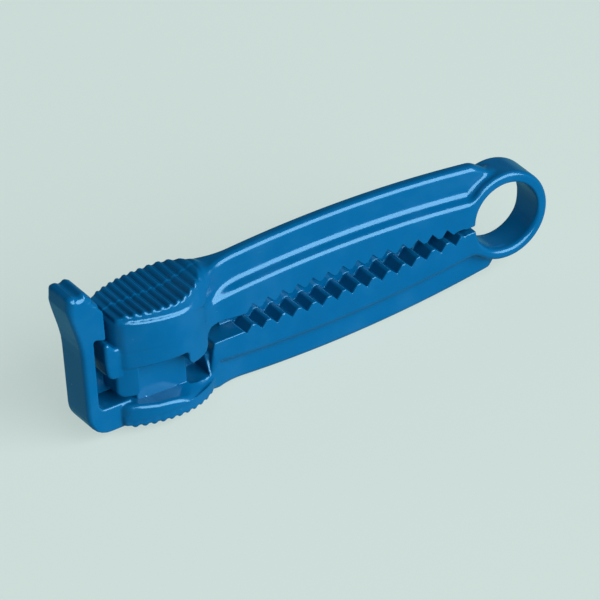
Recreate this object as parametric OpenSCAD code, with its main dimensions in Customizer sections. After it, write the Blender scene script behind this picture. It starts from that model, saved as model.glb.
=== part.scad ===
// Tubing pinch clamp, moulded in one piece from acetal.
// Two ribbed arms meet in a round spring loop, and a hooked latch holds them shut over a tongue.
// X runs along the arms towards the loop, Y across them, and Z from the lower arm to the upper one.

/* [Arms] */
// Loop centre to the free end of the jaws
jaw_len = 59.3; // [48:0.1:72]
// Width of the jaws and of the loop
arm_w = 6.8; // [6:0.1:8]
// Pinch plane to the outer edge of a rib, at its middle
rib_out = 12.8; // [12:0.1:15]
// Thickness of the rib along an arm
rib_t = 2.3; // [1.6:0.1:3]
// Pinch plane to the ledge beside the rib, at the middle
ledge_out = 7.6; // [6.5:0.1:8.2]
// How far the bow brings an arm in at the free end of its jaw
bow_rise = 1.155; // [0.5:0.005:1.3]
// Loop centre to the loop end of the bow
bow_from = 13.7; // [10:0.1:16]

/* [Jaws] */
// Pinch plane to the tips of the teeth, at the middle of the bow
tip_out = 1.75; // [1.7:0.05:2.4]
// Depth of the notches between the teeth
notch_d = 1.25; // [0.6:0.05:1.6]
// Width of a notch at its mouth
notch_w = 2.25; // [1.2:0.05:2.6]
// Distance from one tooth to the next
pitch = 2.97; // [2.7:0.01:3.3]
// Free end of the upper jaw to the last notch, at least; the lower jaw has one notch more
last_notch = 8.7; // [8:0.1:12]
// Share of the arm's bow that the line of the teeth follows
tooth_bow = 0.87; // [0.7:0.01:1]
// Loop centre to the notch nearest it in the upper jaw
first_notch = 11.9; // [11:0.1:14]
// Width of the pinch bar along the middle of a jaw
bar_w = 4; // [2:0.1:5]
// Gap between the two pinch bars when the clamp is latched
bar_gap = 0.5; // [0.3:0.05:1.2]

/* [Spring loop] */
// Radius of the hole in the loop
loop_r = 6.3; // [5:0.1:7.5]
// Thickness of the loop's band
band_t = 1.9; // [1.5:0.1:2.5]
// Half the slit between the jaws where it opens into the hole
slit_half = 0.75; // [0.4:0.05:1.2]

/* [Finger grips] */
// Length of a grip from the end of the jaws to its end face
grip_len = 18.2; // [16.5:0.1:22]
// Width of a grip at its widest
grip_w = 14; // [12:0.1:17]
// Width of a grip at its end face
grip_end_w = 8.5; // [7.6:0.1:9.5]
// Width of a grip where it meets the jaw
grip_neck_w = 7.9; // [7:0.1:9]
// End of the jaws to the widest place of a grip
grip_mid = 8.2; // [7.5:0.1:9]
// Pinch plane to the flat of a grip, where its pad begins
grip_out = 9.6; // [8.8:0.1:10]
// Height of a pad over the flat of its grip
pad_h = 0.9; // [0.3:0.1:1.2]
// How far the upper pad lies inside its grip's edge
pad_in = 0.7; // [0.5:0.05:1]
// How far the lower pad lies inside its grip's edge
pad_in_low = 0.4; // [0.36:0.02:1]
// Height of the pad's ridges
ridge_h = 0.55; // [0.3:0.05:0.8]
// Distance between the ridges
ridge_pitch = 1.53; // [1.3:0.01:1.9]
// Number of ridges on a pad
ridges = 11; // [7:1:11]
// Depth of the upper grip's skirt below the pinch plane at its outer end
skirt_d = 3.7; // [2:0.1:4.5]
// Depth of the foot in the middle of the upper grip's end wall
foot_d = 5; // [3:0.1:5.4]
// Pinch plane to the lower edge of the upper grip's front wall
split_z = 0.75; // [0.4:0.05:1.5]
// Pinch plane to the top of the lower grip's rim
deck_d = 7.2; // [6.8:0.1:7.8]
// End of the jaws to the guide block that stands on the lower grip
notch_len = 4.7; // [4.4:0.1:5.5]
// Length of the guide block
block_len = 9.9; // [7:0.1:10.2]
// Pinch plane to the top of the guide block
block_out = 2; // [1:0.1:3]
// Clearance round the guide block
block_gap = 0.3; // [0.2:0.05:0.5]

/* [Latch] */
// Width of the latch post
post_w = 7.2; // [6.4:0.1:8]
// Thickness of the post where it flexes
post_t = 1.9; // [1.4:0.1:2.4]
// Gap between the grip's end face and the post
post_gap = 3.6; // [3.2:0.1:4.5]
// Pinch plane to the floor between the post and the grip
floor_d = 6.1; // [5.8:0.1:6.6]
// Pinch plane to the underside of the hook
hook_z = 6.7; // [6.2:0.1:7.4]
// How far the hook reaches in from the post
hook_reach = 2.2; // [1.8:0.1:2.4]
// Height of the hook's upright nose
nose_h = 5.2; // [4:0.1:6]
// Pinch plane to the top of the post
post_top = 17.1; // [15:0.1:19]
// How far the lip at the top of the post stands out
lip_out = 2.4; // [1:0.1:3.2]
// Height of the tongue's tip over its root
barb = 1.7; // [0.5:0.1:2]
// Width of the tongue
tongue_w = 6.6; // [5:0.1:7]
// Overlap of the tongue and the hook
catch = 1.5; // [0.8:0.1:1.8]
// Clearance between the tongue and the hook
catch_gap = 0.12; // [0.08:0.02:0.3]
// Radius of the outer corner below the post
corner_r = 4.5; // [2:0.1:4.6]
// Clearance at the root of the post, where it bends
root_gap = 0.06; // [0.04:0.01:0.1]

/* [Hidden] */
$fn = 96;
blue = [0, 0.42, 0.71];

// The part stands on the lowest point of the lower rib, and the loop centre is placed
// so that the origin is in the middle of its length.
pinch_z = rib_out;
loop_out = loop_r + band_t;
grip_x = jaw_len + grip_len;
post_x = grip_x + post_gap + post_t;
loop_x = (post_x + lip_out - loop_out) / 2;
far = 40;
half_w = arm_w / 2;
grip_half = grip_w / 2;
pad_top = grip_out + pad_h;
end_wall = grip_len - notch_len - block_len - block_gap;
notches = floor((jaw_len - last_notch - first_notch) / pitch) + 1;

// An arm bows about the middle of its jaw.
bow_x = (jaw_len + bow_from) / 2;
bow_r = pow(jaw_len - bow_x, 2) / (2 * bow_rise);

// How far the bowed arm has come in towards the pinch plane at x.
function bow(x) = pow(x + bow_x, 2) / (2 * bow_r);
// Height of the line of the teeth at x.
function tip(x) = tip_out - tooth_bow * bow(x);
function along(a, b, n) = [for (i = [0:n]) a + (b - a) * i / n];
// Radius of an arc that falls by drop over a half chord of run.
function arc_radius(run, drop) = (run * run + drop * drop) / (2 * drop);

// Places what is drawn about the loop centre in the part's own frame.
module placed() {
    translate([loop_x, 0, pinch_z]) children();
}

// An outline in X and Z, made solid across Y.
module across(w) {
    rotate([90, 0, 0]) linear_extrude(height = w, center = true) children();
}

// The notched edge of a jaw, from its loop end to its free end, as points.
function teeth(first, count) = [
    for (i = [0:count - 1])
        let (x = -first - i * pitch)
        each [
            [x + notch_w / 2, tip(x + notch_w / 2)],
            [x, tip(x) + notch_d],
            [x - notch_w / 2, tip(x - notch_w / 2)]
        ]
];

// A jaw's bar with its teeth, as drawn for the upper arm. heel is the height of its free end.
module jaw_outline(first, count, heel) {
    polygon(concat(
        [for (x = along(-jaw_len + 1.5, 0, 22)) [x, ledge_out - bow(x)]],
        [[0, slit_half], [-first + 2, slit_half]],
        teeth(first, count),
        [[-jaw_len + 3.5, heel], [-jaw_len, heel], [-jaw_len, ledge_out - bow(-jaw_len) - 0.5]]
    ));
}

// The rib's side outline, with its end sloping onto the loop.
module rib_outline(far_x) {
    polygon(concat(
        [for (x = along(far_x, -4, 24)) [x, rib_out - bow(x)]],
        [[-1, loop_out + 0.3], [-0.4, loop_out - 0.2], [-4, loop_r + 0.6], [-7, 4], [far_x, 4]]
    ));
}

// The pinch bar of a jaw, which lies behind the teeth and reaches nearly to the other jaw's bar.
module pinch_bar(heel) {
    across(bar_w) polygon(concat(
        [for (x = along(-jaw_len + 2.6, -first_notch + 2, 12)) [x, tip(x) + notch_d + 0.8]],
        [
            [-first_notch + 2, slit_half], [-first_notch, bar_gap / 2],
            [-jaw_len + 5, bar_gap / 2], [-jaw_len + 3, heel]
        ]
    ));
}

// Plan of a grip: two arcs that swell from the jaws' width and back to it.
module grip_plan(inset) {
    r_front = arc_radius(grip_len - grip_mid, (grip_w - grip_end_w) / 2);
    r_back = arc_radius(grip_mid, (grip_w - grip_neck_w) / 2);
    mid = -jaw_len - grip_mid;
    intersection() {
        translate([mid, grip_half - r_front]) circle(r = r_front - inset, $fn = 160);
        translate([mid, r_front - grip_half]) circle(r = r_front - inset, $fn = 160);
        translate([-grip_x + inset * 0.6, -grip_w]) square([-mid + grip_x, 2 * grip_w]);
        union() {
            translate([-grip_x - 1, -grip_w]) square([grip_x + mid + 1, 2 * grip_w]);
            intersection() {
                translate([mid, grip_half - r_back]) circle(r = r_back - inset, $fn = 160);
                translate([mid, r_back - grip_half]) circle(r = r_back - inset, $fn = 160);
            }
        }
    }
}

// A ridge across the pad.
module ridge(x) {
    translate([x, 0, pad_top - 0.01]) rotate([90, 0, 0])
        linear_extrude(height = grip_w, center = true)
            polygon([[-0.55, 0], [-0.18, ridge_h], [0.18, ridge_h], [0.55, 0]]);
}

// The body of a grip with its ridged pad, from height z_low up, drawn for the upper arm.
// The pad's outline lies inside the grip's by pad_in.
module grip_body(z_low, pad_in) {
    translate([0, 0, z_low]) linear_extrude(height = grip_out - 0.7 - z_low) grip_plan(0);
    translate([0, 0, grip_out - 0.71]) linear_extrude(height = 0.71) grip_plan(0.35);
    translate([0, 0, grip_out - 0.5]) linear_extrude(height = pad_top - grip_out + 0.5) grip_plan(pad_in);
    intersection() {
        translate([0, 0, pad_top - 0.1]) linear_extrude(height = ridge_h + 0.2) grip_plan(pad_in);
        for (i = [0:ridges - 1]) ridge(-grip_x + 2.1 + i * ridge_pitch);
    }
}

// A square-ended plan that narrows in two hollow curves of radius r, from wide to the rib's width.
module hollow_plan(from_x, to_x, wide, r) {
    difference() {
        translate([from_x, -wide]) square([to_x - from_x, 2 * wide]);
        for (s = [-1, 1])
            translate([to_x, s * (rib_t / 2 + r)]) circle(r = r);
    }
}

// Where the rib widens to meet the grip: broad at the jaw, and narrower along its top.
module flare(z_low) {
    start = -jaw_len + 7.5;
    translate([0, 0, z_low]) linear_extrude(height = grip_out - z_low)
        hollow_plan(-jaw_len - 2, start, half_w, 5.2);
    intersection() {
        translate([0, 0, grip_out - 0.5]) linear_extrude(height = rib_out)
            hollow_plan(-jaw_len - 2, start, 2, 3.6);
        across(grip_w) polygon(concat(
            [[-jaw_len - 2, z_low], [-jaw_len - 2, pad_top - 0.2], [-jaw_len + 0.4, pad_top + 0.8]],
            [for (x = along(-jaw_len + 2, start, 4)) [x, rib_out - bow(x)]],
            [[start, z_low]]
        ));
    }
}

// What both arms share: the jaw, its rib and its share of the loop, drawn for the upper arm.
module arm(first, count, heel) {
    difference() {
        union() {
            across(arm_w) union() {
                jaw_outline(first, count, heel);
                intersection() {
                    circle(r = loop_out, $fn = 160);
                    translate([-loop_out, slit_half]) square([loop_out, loop_out]);
                }
            }
            across(rib_t) rib_outline(-jaw_len + 4);
            pinch_bar(heel);
            flare(tip_out + 3);
        }
        rotate([90, 0, 0]) cylinder(h = far, r = loop_r, center = true, $fn = 160);
        translate([0, -far, -far]) cube([far, 2 * far, 2 * far]);
    }
}

// The guide block, grown by gap on every side but below.
module guide_block(gap) {
    translate([-jaw_len - notch_len - block_len - gap, -half_w - gap, -floor_d - 1])
        cube([block_len + 2 * gap, arm_w + 2 * gap, floor_d + 1 + block_out + gap]);
}

// Underside of the post's root, where the flexing strip begins.
root_x = -post_x + post_t / 2;
root_z = -floor_d + 1.7;

module lower_arm() {
    color(blue) placed() {
        difference() {
            union() {
                mirror([0, 0, 1]) arm(first_notch - pitch / 2, notches + 1, tip_out);
                mirror([0, 0, 1]) grip_body(deck_d, pad_in_low);
                guide_block(0);
                // the core of the grip below its floor
                translate([-grip_x, -half_w, -grip_out])
                    cube([grip_len + 2, arm_w, grip_out - floor_d]);
                // the floor under the latch, rounded below the post
                across(post_w) difference() {
                    polygon([
                        [-grip_x + 2, -pad_top - ridge_h], [-post_x, -pad_top - ridge_h],
                        [-post_x, root_z], [root_x + post_t / 2, root_z],
                        [root_x + post_t / 2, -floor_d], [-grip_x + 2, -floor_d]
                    ]);
                    difference() {
                        translate([-post_x - 1, -pad_top - ridge_h - 1]) square(corner_r + 1);
                        translate([-post_x + corner_r, -pad_top - ridge_h + corner_r]) circle(r = corner_r);
                    }
                }
                // fillet in the corner of the floor
                across(post_w) difference() {
                    translate([root_x + post_t / 2 - 0.1, -floor_d - 0.1]) square([1.1, 1.1]);
                    translate([root_x + post_t / 2 + 1, -floor_d + 1]) circle(r = 1);
                }
            }
            translate([root_x, 0, root_z]) rotate([90, 0, 0])
                cylinder(h = far, r = post_t / 2 + root_gap, center = true);
        }
    }
}

module upper_arm() {
    // the tongue rises to a barb at its tip, which sits under the hook
    tip_x = -post_x + post_t + hook_reach - catch;
    tip_z = hook_z - catch_gap;
    color(blue) placed() {
        arm(first_notch, notches, tip_out);
        difference() {
            union() {
                grip_body(split_z, pad_in);
                // the end wall, which hangs below the pinch plane, and its foot
                translate([0, 0, -skirt_d]) linear_extrude(height = skirt_d + split_z + 1) intersection() {
                    grip_plan(0.2);
                    translate([-grip_x, -grip_w]) square([end_wall, 2 * grip_w]);
                }
                translate([-grip_x + 0.2, -half_w + 0.2, -foot_d])
                    cube([end_wall - 0.2, arm_w - 0.4, foot_d + 1]);
                // the inner wall, with its rounded lower edge
                intersection() {
                    translate([0, 0, -3]) linear_extrude(height = 6) grip_plan(0.2);
                    across(2 * grip_w) union() {
                        translate([-jaw_len - 6, -0.2]) square([4.8, 3]);
                        translate([-jaw_len - 5, -1.6]) square([2.8, 3]);
                        translate([-jaw_len - 4.6, -0.2]) circle(r = 1.4);
                        translate([-jaw_len - 2.6, -0.2]) circle(r = 1.4);
                    }
                }
                // the hollow curve from the inner wall up to the jaw
                across(arm_w) difference() {
                    translate([-jaw_len - 1.6, -0.25]) square([2.4, tip_out + 0.5]);
                    translate([-jaw_len + 0.8, -0.25]) circle(r = 2);
                }
                translate([-jaw_len - 3, -half_w, tip_out]) cube([5, arm_w, 5]);
            }
            guide_block(block_gap);
        }
        across(tongue_w) polygon([
            [-grip_x + 1, tip_z - barb], [-grip_x, tip_z - barb - 0.2], [tip_x + 0.9, tip_z],
            [tip_x + 0.3, tip_z - 0.3], [tip_x, tip_z - 0.9], [tip_x + 0.4, 1.5], [tip_x + 1.2, -0.4],
            [tip_x + 1.9, -0.9], [-grip_x + 1, -0.9]
        ]);
    }
}

module spring_loop() {
    color(blue) placed() intersection() {
        difference() {
            rotate([90, 0, 0]) cylinder(h = arm_w, r = loop_out, center = true, $fn = 160);
            rotate([90, 0, 0]) cylinder(h = far, r = loop_r, center = true, $fn = 160);
        }
        translate([0, -far, -far]) cube([far, 2 * far, 2 * far]);
    }
}

module latch_post() {
    in_x = -post_x + post_t;
    nose_x = in_x + hook_reach;
    nose_top = hook_z + nose_h;
    rise = post_top - nose_top - 0.3;
    run = hook_reach + post_t - 0.8;
    color(blue) placed() {
        across(post_w) union() {
            translate([root_x, root_z]) circle(r = post_t / 2);
            polygon(concat(
                [
                    [in_x, root_z], [in_x, hook_z + 0.5], [nose_x, hook_z],
                    [nose_x, nose_top]
                ],
                // the serrated slope
                [
                    for (i = [0:3], p = [[0.12, 0.5], [0.62, 0.62], [1, 0.28]])
                        let (t = (i + p[0]) / 4)
                        [nose_x - run * t + 0.3 * p[1], nose_top + rise * t + 0.5 * p[1]]
                ],
                [
                    [nose_x - run - 0.7, post_top - 0.6], [nose_x - run - 1.2, post_top - 0.5],
                    [-post_x - 0.5 - lip_out / 8, post_top], [-post_x - 0.8 * lip_out, post_top - 0.6],
                    [-post_x - lip_out, post_top - 1.9], [-post_x - 0.92 * lip_out, post_top - 3.6],
                    [-post_x - lip_out / 2, post_top - 6.4], [-post_x - lip_out / 5, post_top - 9.2],
                    [-post_x - lip_out / 24, post_top - 12.5], [-post_x, post_top - 16],
                    [-post_x, root_z]
                ]
            ));
        }
    }
}

lower_arm();
upper_arm();
spring_loop();
latch_post();
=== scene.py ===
import math

import bmesh
import bpy
import numpy as np
from mathutils import Matrix, Vector


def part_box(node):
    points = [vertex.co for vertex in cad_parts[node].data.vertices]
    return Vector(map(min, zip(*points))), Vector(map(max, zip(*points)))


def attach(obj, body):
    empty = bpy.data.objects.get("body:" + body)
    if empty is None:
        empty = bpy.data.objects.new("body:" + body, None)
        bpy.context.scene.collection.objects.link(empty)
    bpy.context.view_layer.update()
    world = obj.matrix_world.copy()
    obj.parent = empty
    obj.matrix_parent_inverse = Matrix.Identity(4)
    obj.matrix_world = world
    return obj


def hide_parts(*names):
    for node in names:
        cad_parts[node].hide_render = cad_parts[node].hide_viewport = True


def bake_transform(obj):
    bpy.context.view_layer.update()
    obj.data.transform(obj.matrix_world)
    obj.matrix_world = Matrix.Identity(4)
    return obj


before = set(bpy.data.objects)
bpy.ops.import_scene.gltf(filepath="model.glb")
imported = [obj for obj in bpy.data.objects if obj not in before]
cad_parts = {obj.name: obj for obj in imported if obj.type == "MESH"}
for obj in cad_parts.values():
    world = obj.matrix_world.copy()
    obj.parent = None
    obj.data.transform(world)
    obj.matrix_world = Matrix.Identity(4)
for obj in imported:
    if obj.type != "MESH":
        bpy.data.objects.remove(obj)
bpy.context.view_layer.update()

# All shapes below are in millimetres about the centre of the spring loop:
# x along the arms with the loop at the plus end, y across, z up from the plane where the jaws meet.
mm = 0.001
loopLow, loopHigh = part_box("spring_loop")
loopCentre = np.array([loopLow.x, 0, (loopLow.z + loopHigh.z) / 2]) / mm
loopOuter = (loopHigh.z - loopLow.z) / 2 / mm
halfWidth = loopHigh.y / mm

mesher = {"cell": 0.25, "settle": 4, "slopeStep": 0.02, "crease": 0.8}


# Distances. A shape is a function that is negative inside it and positive outside.

def roundJoin(a, b, r):
    # both shapes, with a hollow fillet of radius r where they meet
    return np.maximum(r, np.minimum(a, b)) - np.hypot(np.maximum(r - a, 0), np.maximum(r - b, 0))


def roundCut(a, b, r):
    # what lies in both shapes, with its edge rounded to radius r
    return np.minimum(-r, np.maximum(a, b)) + np.hypot(np.maximum(r + a, 0), np.maximum(r + b, 0))


def softJoin(a, b, k):
    # both shapes, blended over a distance k
    h = np.maximum(k - np.abs(a - b), 0) / k
    return np.minimum(a, b) - h * h * k / 4


def slab(value, low, high):
    # the space between two values
    return np.maximum(low - value, value - high)


def ease(value, start, end):
    t = np.clip((value - start) / (end - start), 0, 1)
    return t * t * (3 - 2 * t)


def mix(a, b, share):
    return a + (b - a) * share


def roundedOutline(corners, step=12):
    # corners are (x, z, radius), and each becomes an arc
    points = []
    for i, (cx, cz, r) in enumerate(corners):
        here = np.array([cx, cz])
        back = np.array(corners[i - 1][:2]) - here
        ahead = np.array(corners[(i + 1) % len(corners)][:2]) - here
        backLen, aheadLen = np.linalg.norm(back), np.linalg.norm(ahead)
        back, ahead = back / backLen, ahead / aheadLen
        half = math.acos(np.clip(back @ ahead, -1, 1)) / 2
        if r == 0 or half > math.pi / 2 - 0.01:
            points.append(here)
            continue
        reach = min(r / math.tan(half), 0.49 * backLen, 0.49 * aheadLen)
        r = reach * math.tan(half)
        middle = here + (back + ahead) / np.linalg.norm(back + ahead) * r / math.sin(half)
        a, b = here + back * reach - middle, here + ahead * reach - middle
        turn = math.atan2(a[0] * b[1] - a[1] * b[0], a @ b)
        arcs = max(2, int(abs(math.degrees(turn)) / step))
        for k in range(arcs + 1):
            c, s = math.cos(turn * k / arcs), math.sin(turn * k / arcs)
            points.append(middle + np.array([c * a[0] - s * a[1], s * a[0] + c * a[1]]))
    return np.array(points)


def outlineDistance(x, z, points):
    # distance to a closed outline in side view
    x, z = np.broadcast_arrays(x, z)
    nearest = np.full(x.shape, 1e9)
    inside = np.zeros(x.shape, bool)
    for p, q in zip(points, np.roll(points, -1, axis=0)):
        ex, ez = q - p
        wx, wz = x - p[0], z - p[1]
        t = np.clip((wx * ex + wz * ez) / (ex * ex + ez * ez + 1e-12), 0, 1)
        nearest = np.minimum(nearest, (wx - t * ex) ** 2 + (wz - t * ez) ** 2)
        crosses = (p[1] > z) != (q[1] > z)
        inside ^= crosses & (wx < ex * wz / (ez if abs(ez) > 1e-12 else 1e-12))
    return np.sqrt(nearest) * np.where(inside, -1, 1)


# Finger grips, seen from above: two arcs, then a hollow curve down to the arm.

grip = {
    "end": -77.8, "mid": -67.5, "half": 6.97, "leftRadius": 19.5, "rightRadius": 12.5, "endRound": 2.0,
    "barHollow": 8.5, "ribHollow": 12.0,
    "top": 9.75, "topFall": 0.085, "topRound": 0.65,
    "rampFrom": -67.0, "rampTo": -58.5, "flareRound": 3.0,
}
pad = {
    "mid": -67.0, "half": 6.5, "leftRadius": 22.0, "rightRadius": 8.8, "end": -77.1, "root": 8.6,
    "top": 10.5, "round": 0.3, "dish": 0.1, "dishHalf": 5.0, "step": 0.13,
    "riseFrom": -67.0, "riseTo": -58.5,
    "ridgeStart": -75.35, "pitch": 1.53, "ridges": 12, "ridgeRadius": 0.55, "ridgeTop": 10.97,
    "ridgeEnd": 0.45, "blend": 0.25, "join": 0.3, "joinRight": 2.2,
}


def lensOutline(x, y, sizes):
    # two arcs either side of the middle, flatter towards the latch
    dx = x - sizes["mid"]
    r = np.where(dx < 0, sizes["leftRadius"], sizes["rightRadius"])
    return np.hypot(dx, np.abs(y) + r - sizes["half"]) - r


def gripOutline(x, y, half, hollow):
    # the grip's outline, and an arm of this half width that leaves it in a hollow curve
    y = np.abs(y)
    r = grip["rightRadius"]
    lensY, hollowY = grip["half"] - r, half + hollow
    hollowX = grip["mid"] + math.sqrt((r + hollow) ** 2 - (hollowY - lensY) ** 2)
    curve = hollow - np.hypot(x - hollowX, y - hollowY)
    past = (x - grip["mid"]) * (hollowY - lensY) - (y - lensY) * (hollowX - grip["mid"]) > 0
    return np.where(x > hollowX, y - half, np.where(past, curve, lensOutline(x, y, grip)))


def gripTop(x):
    return grip["top"] - grip["topFall"] * np.clip(x + 75, 0, 14)


def padShape(x, y, u, outline, rise):
    # the raised pad and the ridges across it; u is the height away from the jaws' plane
    dish = pad["dish"] * np.clip(1 - (y / pad["dishHalf"]) ** 2, 0, 1) - pad["step"] * ease(y, -0.12, 0.12)
    dish = dish - rise * ease(x, pad["riseFrom"], pad["riseTo"])
    plate = roundCut(outline, u - pad["top"] + dish, pad["round"])
    nearest = np.clip(np.round((x - pad["ridgeStart"]) / pad["pitch"]), 0, pad["ridges"] - 1)
    across = x - pad["ridgeStart"] - nearest * pad["pitch"]
    r = pad["ridgeRadius"]
    ridge = np.hypot(across, np.maximum(u - pad["ridgeTop"] + dish + r, 0)) - r
    ridge = roundCut(ridge, outline + 0.05, pad["ridgeEnd"])
    ridge = np.maximum(ridge, pad["top"] - 1 - u)
    return np.maximum(softJoin(plate, ridge, pad["blend"]), pad["root"] - u)


# Arms. Each is drawn with u growing away from the jaws' meeting plane.

arm = {
    "jawEnd": -59.3, "ledge": 7.42, "edgeRound": 1.2,
    "ribTop": 12.8, "ribHalf": 1.4, "ribRound": 1.1, "ribFoot": 1.5, "ribRoot": 4.0,
    "bowMid": -36.5, "bowRadius": 225, "toothBow": 0.87,
    "tip": 1.75, "pitch": 2.97, "notchDeep": 1.25, "notchWide": 2.25, "toothRound": 0.14, "jawRound": 0.2,
    "barFrom": 0.9, "barTo": 2.0, "barGap": 0.25, "slit": 0.75,
    "band": 1.9, "outerRound": 0.8, "innerRound": 0.4, "lowInnerRound": 0.85,
}
upperJaw = {"first": -11.9, "notches": 14, "heel": 1.72, "heelFrom": -51.6, "heelTo": -57.0}
lowerJaw = {"first": -10.415, "notches": 15, "heel": 2.05, "heelFrom": -51.8, "heelTo": -52.3}


def bow(x):
    return (x - arm["bowMid"]) ** 2 / (2 * arm["bowRadius"])


def loopSides(x, z):
    r = np.hypot(x, z)
    return r - loopOuter, loopOuter - arm["band"] - r


def loopEdge(x, z, below):
    # the loop's edges are rounder outside than in, and rounder inside below the pinch plane
    outer, inner = loopSides(x, z)
    innerRound = mix(arm["innerRound"], arm["lowInnerRound"], ease(below, 0.5, 4))
    return mix(innerRound, arm["outerRound"], ease(outer - inner, -0.6, 0.6))


def loopShape(x, y, z):
    outer, inner = loopSides(x, z)
    return roundCut(np.maximum(outer, inner), np.abs(y) - halfWidth, loopEdge(x, z, -z))


def jawLine(x, jaw):
    # height of the toothed face, from the slit by the loop to the plain heel at the free end
    line = arm["tip"] - arm["toothBow"] * bow(x)
    line = mix(line, jaw["heel"], ease(x, jaw["heelFrom"], jaw["heelTo"]))
    return mix(line, arm["slit"], ease(x, jaw["first"] + 1.1, jaw["first"] + 2))


def jawProfile(x, u, jaw):
    # side view of the arm's bar, with its teeth and its share of the loop
    top = u - (arm["ledge"] - bow(x))
    nearest = np.clip(np.round((jaw["first"] - x) / arm["pitch"]), 0, jaw["notches"] - 1)
    away = np.abs(x - jaw["first"] + nearest * arm["pitch"])
    deep, half = arm["notchDeep"], arm["notchWide"] / 2
    root = arm["tip"] - arm["toothBow"] * bow(x) + deep
    notch = (away * deep + (u - root) * half) / math.hypot(deep, half)
    teeth = roundCut(jawLine(x, jaw) - u, -notch, arm["toothRound"])
    outer, inner = loopSides(x, u)
    quarter = roundCut(outer, arm["slit"] - u, 0.3)
    bar = np.maximum(np.maximum(top, teeth), x + 3)
    return roundCut(roundJoin(bar, quarter, 0.8), inner, 0.2)


def barEdge(x, u, jaw, below):
    edge = mix(arm["jawRound"], arm["edgeRound"], ease(u - jawLine(x, jaw), 1.5, 4))
    return mix(edge, loopEdge(x, u, below), ease(x, -8, -5))


def ribShape(x, y, u, plan, topRound, end):
    # the rib, which widens into the grip's body and slopes down onto the loop;
    # end is that slope, as a point on it and the way it faces
    drop = bow(x)
    crest = mix(gripTop(x), arm["ribTop"] - drop, ease(x, grip["rampFrom"], grip["rampTo"]))
    slope = end[2] * (x - end[0]) + end[3] * (u - end[1])
    top = -softJoin(-slope, crest - u, 0.3)
    rib = roundCut(top, plan, topRound)
    return np.maximum(np.maximum(rib, arm["ribRoot"] - u), loopSides(x, u)[1] + 0.4)


def ribTopRound(x):
    byRib = ease(x, -60.5, -57)
    byGrip = ease(x, -61, -66.5)
    return mix(mix(grip["flareRound"], arm["ribRound"], byRib), grip["topRound"], byGrip)


def ribFootRadius(x, gap):
    # the hollow fillet along the rib fades where rib and bar are flush, and shrinks by the loop
    return arm["ribFoot"] * ease(gap, 0, 2) * mix(1, 0.6, ease(x, -7, -4)) + 0.01


def pinchBar(x, y, u, jaw):
    # the low bar behind the teeth that flattens a tube
    bar = slab(u, arm["barGap"], jawLine(x, jaw) + arm["notchDeep"] + 1)
    bar = np.maximum(bar, slab(x, arm["jawEnd"] + 4.6, jaw["first"] + 0.5))
    return roundCut(bar, slab(y, arm["barFrom"], arm["barTo"]), 0.06)


# Upper arm, with the hollow body of its grip and the tongue at its end.

upperGrip = {
    "edge": 0.35, "edgeFrom": -58.0, "edgeTo": -60.5, "jawRoot": -61.8,
    "padRise": 1.35, "ribEnd": (-4.4, 10.5, 0.567, 0.824),
    "skirt": 4.8, "skirtTo": -74.1, "wallIn": 0.22, "room": 0.3,
    "foot": 6.8, "footFrom": 0.5, "footTo": 4.0, "footEnd": -79.4,
}
upperBody = roundedOutline([
    (-77.4, 5, 0), (-77.4, 0.75, 0.4), (-65.2, 0.75, 0.7), (-65.2, -1.95, 1.5), (-60.1, -1.95, 1.6),
    (-60.1, 1.72, 2.1), (-56.8, 1.72, 0), (-56.8, 5, 0),
])
tongue = {
    "half": 4.3, "edge": 0.6,
    "outline": roundedOutline([
        (-76.5, 4.9, 0), (-77.6, 4.95, 0.5), (-78.9, 6.45, 0.6), (-79.6, 6.0, 0.6), (-79.6, 2.5, 4),
        (-79.2, -0.9, 1.5), (-76.5, -0.9, 0),
    ]),
}
block = {
    "from": -73.9, "to": -64.0, "top": 2.0, "edge": 0.4,
}


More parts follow.
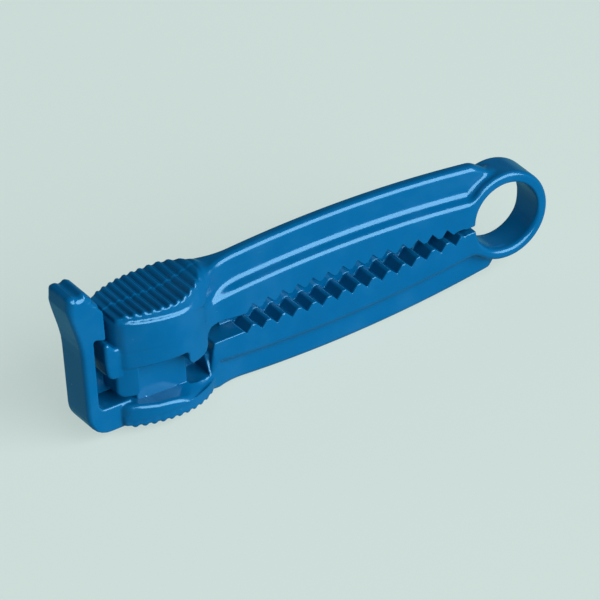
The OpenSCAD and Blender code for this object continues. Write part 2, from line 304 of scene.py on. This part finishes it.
def upperShape(x, y, z):
    wide = gripOutline(x, y, halfWidth, grip["barHollow"])
    narrow = gripOutline(x, y, arm["ribHalf"], grip["ribHollow"])
    end = grip["end"] - x
    wide, narrow = (roundCut(plan, end, grip["endRound"]) for plan in (wide, narrow))
    profile = np.maximum(jawProfile(x, z, upperJaw), upperGrip["jawRoot"] - x)
    profile = np.minimum(profile, outlineDistance(x, z, upperBody))
    byGrip = ease(x, upperGrip["edgeFrom"], upperGrip["edgeTo"])
    edge = mix(barEdge(x, z, upperJaw, -z), upperGrip["edge"], byGrip)
    body = roundCut(profile, wide, edge)
    rib = ribShape(x, y, z, narrow, ribTopRound(x), upperGrip["ribEnd"])
    body = roundJoin(body, rib, ribFootRadius(x, narrow - wide))
    padPlan = roundCut(lensOutline(x, y, pad), pad["end"] - x, 0.5)
    padJoin = mix(pad["join"], pad["joinRight"], ease(x, -66, -60))
    body = softJoin(body, padShape(x, y, z, padPlan, upperGrip["padRise"]), padJoin)
    # the end wall hangs below the pinch plane, with a foot that closes the gap under the latch
    wall = roundCut(slab(x, grip["end"] + 0.1, upperGrip["skirtTo"]), -upperGrip["skirt"] - z, 1.2)
    wall = roundCut(np.maximum(wall, z - 4), lensOutline(x, y, grip) + upperGrip["wallIn"], 0.4)
    toe = roundCut(slab(x, upperGrip["footEnd"], upperGrip["skirtTo"] - 0.4), -upperGrip["foot"] - z, 0.5)
    toe = roundCut(np.maximum(toe, z + 0.2), slab(y, upperGrip["footFrom"], upperGrip["footTo"]), 0.15)
    body = roundJoin(roundJoin(body, wall, 0.25), toe, 0.25)
    # room for the guide block
    room = np.maximum(
        slab(x, block["from"] - upperGrip["room"], block["to"] + upperGrip["room"]),
        z - block["top"] - upperGrip["room"],
    )
    room = roundCut(room, np.abs(y) - halfWidth - upperGrip["room"], 0.3)
    body = roundCut(body, -room, 0.25)
    body = roundJoin(body, pinchBar(x, y, z, upperJaw), 0.25)
    catch = roundCut(outlineDistance(x, z, tongue["outline"]), np.abs(y) - tongue["half"], tongue["edge"])
    return roundJoin(body, catch, 0.3)


# Lower arm, with its grip's flange, the guide block and the latch post.

lowerGrip = {
    "deck": 7.0, "deckFrom": -71.5, "deckTo": -58.5, "deckTurn": 80, "deckHinge": 3.0,
    "rim": 0.85, "blockFoot": 0.01, "padIn": 0.12, "pocketTo": -59.7, "pocketDepth": 7.8,
    "pocketHalf": 3.75, "pocketBack": 1.5, "ribEnd": (-2.6, 10.2, 0.78, 0.626), "padRise": 0, "rimRise": 0.14,
}
lowerBody = roundedOutline([
    (-77.1, -7.6, 0.3), (-73.9, -7.6, 0.9), (-73.9, 2.0, 0.4), (-64.0, 2.0, 0.4), (-64.0, -8.0, 0.6),
    (-59.5, -8.0, 0.9), (-58.7, -3.2, 0), (-56, -3.2, 0), (-56, -5.2, 0), (-60, -9, 0), (-77.1, -9, 0),
])
post = {
    "half": 3.65, "edge": 0.8, "windowEdge": 0.4, "topEdge": 1.3,
    "outline": roundedOutline([
        (-75, -10.9, 0), (-83.3, -10.95, 4.8), (-83.5, 6.5, 16), (-85.4, 14.3, 1.8), (-85.2, 16.9, 1.2),
        (-83.9, 17.05, 0.8), (-83.1, 16.45, 0.9), (-82.15, 17.1, 0.6), (-81.3, 16.6, 0.35),
        (-81.2, 16.0, 0.25), (-80.4, 15.4, 0.35), (-80.35, 14.7, 0.25), (-79.6, 14.0, 0.35),
        (-79.5, 13.2, 0.25), (-78.85, 12.4, 0.4), (-78.8, 6.75, 0.4), (-81.1, 7.6, 0.4),
        (-81.1, -6.15, 1.2), (-75, -6.15, 0),
    ]),
}


def lowerShape(x, y, z):
    u = -z
    bar = np.abs(y) - halfWidth
    narrow = gripOutline(x, y, arm["ribHalf"], grip["ribHollow"])
    narrow = roundCut(narrow, grip["end"] - x, grip["endRound"])
    jawEnd = (arm["jawEnd"] + 0.9 - x) * 0.988 - (u - 2) * 0.155
    profile = roundCut(jawProfile(x, u, lowerJaw), jawEnd, 0.35)
    profile = np.minimum(profile, outlineDistance(x, z, lowerBody))
    edge = mix(barEdge(x, u, lowerJaw, u), block["edge"], ease(x, -57, -60))
    body = roundCut(profile, bar, edge)
    # the flange under the block tips away from the jaws as it nears the arm
    turn = np.radians(lowerGrip["deckTurn"]) * (
        np.clip((x - lowerGrip["deckFrom"]) / (lowerGrip["deckTo"] - lowerGrip["deckFrom"]), 0, 1) ** 2
    )
    level = lowerGrip["deck"] - lowerGrip["rimRise"] * np.clip(lowerGrip["deckFrom"] - x, 0, 3)
    deck = np.cos(turn) * (level - u) + np.sin(turn) * (np.abs(y) - lowerGrip["deckHinge"])
    rib = ribShape(x, y, u, narrow, ribTopRound(x), lowerGrip["ribEnd"])
    rib = roundCut(rib, deck, lowerGrip["rim"])
    byBlock = mix(arm["ribFoot"], lowerGrip["blockFoot"], ease(x, -57, -60))
    body = roundJoin(body, rib, np.minimum(ribFootRadius(x, np.abs(narrow - bar)), byBlock))
    padPlan = roundCut(lensOutline(x, y, grip) + lowerGrip["padIn"], pad["end"] - x, 0.5)
    body = softJoin(body, padShape(x, y, u, padPlan, lowerGrip["padRise"]), pad["join"])
    pocket = np.maximum(slab(x, block["to"] + 0.05, lowerGrip["pocketTo"]), u - lowerGrip["pocketDepth"])
    pocket = roundCut(pocket, slab(y, -lowerGrip["pocketHalf"], lowerGrip["pocketBack"]), 0.3)
    body = roundCut(body, -pocket, 0.15)
    body = roundJoin(body, pinchBar(x, y, u, lowerJaw), 0.25)
    postEdge = mix(post["edge"], post["windowEdge"], ease(x, -83, -81.6))
    postEdge = mix(postEdge, post["topEdge"], ease(z, 12, 15.5))
    latch = roundCut(outlineDistance(x, z, post["outline"]), np.abs(y) - post["half"], postEdge)
    return roundJoin(body, latch, 0.3)


# Meshes: the surface where a shape's distance is zero, settled onto it and smoothed by its slope.

def latticeAxis(low, high, cell):
    # a cell's centre falls on zero, so that pieces can part exactly at the loop's centre
    return (np.arange(math.floor(low / cell), math.ceil(high / cell) + 1) + 0.5) * cell


def slopeOf(shape, points):
    h = mesher["slopeStep"]
    x, y, z = points.T
    return np.stack([
        shape(x + h, y, z) - shape(x - h, y, z),
        shape(x, y + h, z) - shape(x, y - h, z),
        shape(x, y, z + h) - shape(x, y, z - h),
    ], 1) / (2 * h)


def surfaceMesh(shape, low, high):
    cell = mesher["cell"]
    axes = [latticeAxis(a, b, cell) for a, b in zip(low, high)]
    grids = np.meshgrid(*axes, indexing="ij", sparse=True)
    values = np.ascontiguousarray(np.broadcast_to(shape(*grids), [len(a) for a in axes]))
    inside = values < 0
    size = np.array(values.shape)
    strides = np.array([size[1] * size[2], size[2], 1])
    total, sums, quads = np.zeros(values.size), np.zeros((3, values.size)), []
    for axis in range(3):
        ahead, behind = [slice(None)] * 3, [slice(None)] * 3
        ahead[axis], behind[axis] = slice(1, None), slice(None, -1)
        where = np.argwhere(inside[tuple(ahead)] != inside[tuple(behind)])
        where = where[(where > 0).all(1) & (where < size - 1).all(1)]
        first = where @ strides
        a, b = values.ravel()[first], values.ravel()[first + strides[axis]]
        crossing = where.astype(float)
        crossing[:, axis] += a / (a - b)
        u, v = strides[(axis + 1) % 3], strides[(axis + 2) % 3]
        cells = np.stack([first, first - u, first - u - v, first - v], 1)
        for column in range(4):
            total += np.bincount(cells[:, column], minlength=values.size)
            for k in range(3):
                sums[k] += np.bincount(cells[:, column], crossing[:, k], values.size)
        quads.append(np.where((a < 0)[:, None], cells, cells[:, ::-1]))
    used = np.flatnonzero(total)
    number = np.zeros(values.size, int)
    number[used] = np.arange(len(used))
    quads = number[np.concatenate(quads)]
    origin = np.array([a[0] for a in axes])
    points = origin + (sums[:, used] / total[used]).T * cell
    seam = np.abs(origin[0] + (used // strides[0] + 0.5) * cell) < cell / 4
    points[seam, 0] = 0
    for turn in range(mesher["settle"]):
        slope = slopeOf(shape, points)
        slope[seam, 0] = 0
        push = slope * (shape(*points.T) / np.maximum((slope ** 2).sum(1), 0.05))[:, None]
        length = np.linalg.norm(push, axis=1)
        points -= push * np.minimum(1, 0.4 * cell / np.maximum(length, 1e-9))[:, None]
    normals = slopeOf(shape, points)
    normals /= np.linalg.norm(normals, axis=1)[:, None] + 1e-12
    return points, quads, normals


def makePiece(name, shape, low, high, side):
    # keeps the points on one side of the loop's centre and caps the cut
    points, quads, normals = surfaceMesh(shape, low, high)
    quads = quads[(points[quads, 0] * side > -1e-6).all(1)]
    used = np.unique(quads)
    number = np.zeros(len(points), int)
    number[used] = np.arange(len(used))
    points, normals, quads = points[used], normals[used], number[quads]
    mesh = bpy.data.meshes.new(name)
    mesh.from_pydata((points + loopCentre) * mm, [], quads)
    work = bmesh.new()
    work.from_mesh(mesh)
    shapeFaces = len(work.faces)
    bmesh.ops.holes_fill(work, edges=[e for e in work.edges if e.is_boundary], sides=0)
    work.to_mesh(mesh)
    work.free()
    mesh.polygons.foreach_set("use_smooth", np.ones(len(mesh.polygons), bool))
    corners = np.zeros(len(mesh.loops), int)
    mesh.loops.foreach_get("vertex_index", corners)
    cornerNormals = normals[corners]
    # a face that bridges a sharp crease is shaded as part of one side of it
    mean = normals[quads].mean(1)
    creased = np.flatnonzero(np.linalg.norm(mean, axis=1) < mesher["crease"])
    slope = slopeOf(shape, points[quads[creased]].mean(1))
    slope /= np.linalg.norm(slope, axis=1)[:, None] + 1e-12
    for corner in range(4):
        cornerNormals[creased * 4 + corner] = slope
    for face in mesh.polygons[shapeFaces:]:
        cornerNormals[face.loop_start:face.loop_start + face.loop_total] = face.normal
    mesh.normals_split_custom_set(cornerNormals.tolist())
    piece = bpy.data.objects.new(name, mesh)
    bpy.context.scene.collection.objects.link(piece)
    print(name, 2 * shapeFaces, "triangles and", len(mesh.polygons) - shapeFaces, "caps")
    return piece


# The two corners given for each piece are the space in which its surface is looked for.

print("arms and loop")
lowerArm = makePiece("lowerArm", lowerShape, (-86.5, -8, -13.5), (1, 8, 18), -1)
upperArm = makePiece("upperArm", upperShape, (-81.5, -8, -6), (1, 8, 13.5), -1)
springLoop = makePiece("springLoop", loopShape, (-1, -4, -9), (9, 4, 9), 1)

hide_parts("lower_arm", "latch_post")
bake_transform(lowerArm)
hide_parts("upper_arm")
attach(upperArm, "upper")
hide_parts("spring_loop")
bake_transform(springLoop)


# Blue acetal, one material for all three pieces.

print("plastic")

plastic = {
    "colour": (0.0, 0.056, 0.15, 1), "deep": (0.0, 0.0525, 0.142, 1), "pale": (0.002, 0.061, 0.159, 1),
    "mottleScale": 170, "roughness": (0.13, 0.22), "roughScale": 420,
    "peelScale": 1500, "peelDepth": 0.000007, "scuffScale": (160, 1500, 900), "scuffRough": 0.14,
    "scuffDepth": 0.000006, "patchScale": 90, "specular": 0.55, "tint": (0.33, 0.72, 1.0, 1),
}


def plasticMaterial():
    material = bpy.data.materials.new("blueAcetal")
    material.use_nodes = True
    nodes, links = material.node_tree.nodes, material.node_tree.links
    shader = nodes["Principled BSDF"]
    place = nodes.new("ShaderNodeTexCoord")

    def noise(scale, detail, vector=None):
        node = nodes.new("ShaderNodeTexNoise")
        node.inputs["Scale"].default_value = scale
        node.inputs["Detail"].default_value = detail
        links.new(vector or place.outputs["Object"], node.inputs["Vector"])
        return node.outputs["Fac"]

    def combine(operation, a, b):
        node = nodes.new("ShaderNodeMath")
        node.operation = operation
        for socket, value in zip(node.inputs, (a, b)):
            if isinstance(value, (int, float)):
                socket.default_value = value
            else:
                links.new(value, socket)
        return node.outputs["Value"]

    def spread(value, fromLow, fromHigh, low, high):
        node = nodes.new("ShaderNodeMapRange")
        for name, number in zip(("From Min", "From Max", "To Min", "To Max"), (fromLow, fromHigh, low, high)):
            node.inputs[name].default_value = number
        links.new(value, node.inputs["Value"])
        return node.outputs["Result"]

    # colour drifts a little, as pigment does in moulded plastic
    tone = nodes.new("ShaderNodeValToRGB")
    tone.color_ramp.elements[0].position, tone.color_ramp.elements[0].color = 0.3, plastic["deep"]
    tone.color_ramp.elements[1].position, tone.color_ramp.elements[1].color = 0.72, plastic["pale"]
    tone.color_ramp.elements.new(0.5).color = plastic["colour"]
    links.new(noise(plastic["mottleScale"], 4), tone.inputs["Fac"])
    links.new(tone.outputs["Color"], shader.inputs["Base Color"])

    # faint rub marks run along the arms
    stretch = nodes.new("ShaderNodeMapping")
    stretch.inputs["Scale"].default_value = plastic["scuffScale"]
    links.new(place.outputs["Object"], stretch.inputs["Vector"])
    scuff = spread(noise(1, 3, stretch.outputs["Vector"]), 0.6, 0.75, 0, 1)
    patch = spread(noise(plastic["patchScale"], 2), 0.48, 0.62, 0, 1)
    scuff = combine("MULTIPLY", scuff, patch)
    rough = spread(noise(plastic["roughScale"], 3), 0.3, 0.7, *plastic["roughness"])
    rough = combine("ADD", rough, combine("MULTIPLY", scuff, plastic["scuffRough"]))
    links.new(rough, shader.inputs["Roughness"])

    # the skin is slightly uneven, like orange peel
    height = combine("MULTIPLY", noise(plastic["peelScale"], 2), plastic["peelDepth"])
    height = combine("SUBTRACT", height, combine("MULTIPLY", scuff, plastic["scuffDepth"]))
    bump = nodes.new("ShaderNodeBump")
    bump.inputs["Distance"].default_value = 1
    links.new(height, bump.inputs["Height"])
    links.new(bump.outputs["Normal"], shader.inputs["Normal"])
    shader.inputs["Specular IOR Level"].default_value = plastic["specular"]
    shader.inputs["Specular Tint"].default_value = plastic["tint"]
    return material


blue = plasticMaterial()
for piece in (lowerArm, upperArm, springLoop):
    piece.data.materials.append(blue)


# Camera, two soft lights, a pale floor and a dim surround. Distances here are in metres.

print("studio")

studio = {
    "azimuth": -30.28, "elevation": 32.58, "roll": -4.25, "distance": 1.5, "lens": 540,
    "target": (-0.00085, 0, 0.0101),
    "keyFrom": (0.31, -0.843, 0.46), "lightDistance": 3.0, "keySize": (3.8, 2.7), "keyPower": 326,
    "fillFrom": (-0.8, 0.6, 0.22), "fillSize": (2.4, 1.2), "fillPower": 34,
    "sky": (0.04, 0.056, 0.06, 1), "ground": (0.1, 0.27, 0.3, 1),
    "floor": (0.1, 0.115, 0.11, 1), "glow": (0.46, 0.55, 0.525, 1), "floorHalf": 4,
}


def addCamera():
    a, e, q = (math.radians(studio[k]) for k in ("azimuth", "elevation", "roll"))
    back = Vector((math.sin(a) * math.cos(e), -math.cos(a) * math.cos(e), math.sin(e)))
    right = Vector((math.cos(a), math.sin(a), 0))
    up = back.cross(right)
    right, up = right * math.cos(q) + up * math.sin(q), up * math.cos(q) - right * math.sin(q)
    camera = bpy.data.objects.new("camera", bpy.data.cameras.new("camera"))
    bpy.context.scene.collection.objects.link(camera)
    camera.matrix_world = Matrix((right, up, back)).transposed().to_4x4()
    camera.location = Vector(studio["target"]) + back * studio["distance"]
    camera.data.lens = studio["lens"]
    camera.data.clip_start = 0.01
    camera.data.clip_end = 20
    bpy.context.scene.camera = camera


def addLight(name, origin, size, power, seen=True):
    light = bpy.data.lights.new(name, "AREA")
    light.shape = "RECTANGLE"
    light.size, light.size_y = size
    light.energy = power
    lamp = bpy.data.objects.new(name, light)
    bpy.context.scene.collection.objects.link(lamp)
    direction = Vector(origin).normalized()
    lamp.location = direction * studio["lightDistance"]
    lamp.visible_glossy = seen   # whether the plastic mirrors it
    lamp.rotation_euler = direction.to_track_quat("Z", "Y").to_euler()


def addFloor():
    mesh = bpy.data.meshes.new("floor")
    h = studio["floorHalf"]
    mesh.from_pydata([(-h, -h, 0), (h, -h, 0), (h, h, 0), (-h, h, 0)], [], [(0, 1, 2, 3)])
    floor = bpy.data.objects.new("floor", mesh)
    bpy.context.scene.collection.objects.link(floor)
    material = bpy.data.materials.new("floor")
    material.use_nodes = True
    shader = material.node_tree.nodes["Principled BSDF"]
    shader.inputs["Base Color"].default_value = studio["floor"]
    shader.inputs["Roughness"].default_value = 0.8
    shader.inputs["Emission Color"].default_value = studio["glow"]
    shader.inputs["Emission Strength"].default_value = 1
    mesh.materials.append(material)
    floor.visible_glossy = False   # a matt floor, kept out of the plastic's reflections


def addWorld():
    world = bpy.data.worlds.new("world")
    bpy.context.scene.world = world
    world.use_nodes = True
    nodes, links = world.node_tree.nodes, world.node_tree.links
    place = nodes.new("ShaderNodeTexCoord")
    parts = nodes.new("ShaderNodeSeparateXYZ")
    ramp = nodes.new("ShaderNodeValToRGB")
    ramp.color_ramp.elements[0].color = studio["ground"]
    ramp.color_ramp.elements[1].color = studio["sky"]
    ramp.color_ramp.elements[1].position = 0.1
    links.new(place.outputs["Generated"], parts.inputs["Vector"])
    links.new(parts.outputs["Z"], ramp.inputs["Fac"])
    links.new(ramp.outputs["Color"], nodes["Background"].inputs["Color"])


addCamera()
addLight("keyLight", studio["keyFrom"], studio["keySize"], studio["keyPower"])
addLight("fillLight", studio["fillFrom"], studio["fillSize"], studio["fillPower"], False)
addFloor()
addWorld()
bpy.context.scene.view_settings.view_transform = "Standard"
